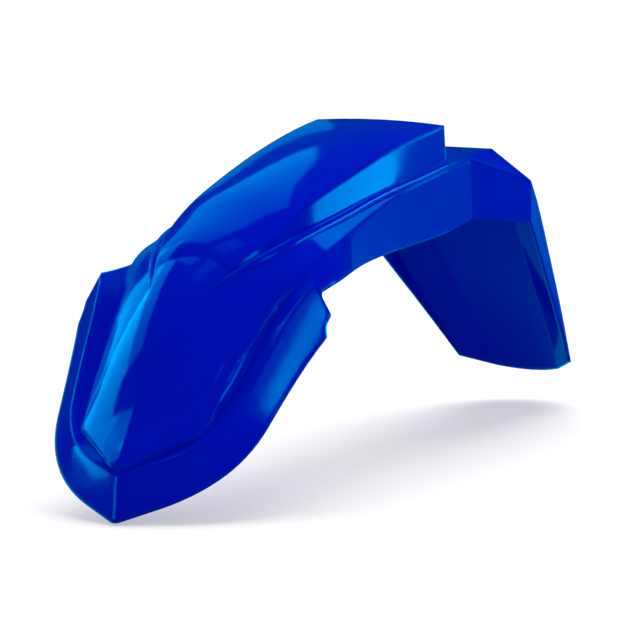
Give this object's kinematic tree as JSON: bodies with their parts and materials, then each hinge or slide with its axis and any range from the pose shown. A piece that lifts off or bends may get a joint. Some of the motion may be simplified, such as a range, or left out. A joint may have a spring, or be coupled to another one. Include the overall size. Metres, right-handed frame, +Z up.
{
  "type": "motorcycle front mudguard",
  "caption": "Moulded front mudguard with a raised hood, pointed nose with side wings, narrow waist, flat bolt deck and a rear flap.",
  "frame": {"origin": "middle of the four bolt holes, on the top face of the fixing deck", "axes": "+X forward to the nose, +Y to the rider's left, +Z up, square to the deck"},
  "size_m": [0.6961, 0.2378, 0.27],
  "materials": {
    "blue_plastic": "high gloss, coloured through"
  },
  "bodies": {
    "root": {"mudguard": "blue_plastic"}
  },
  "joints": []
}
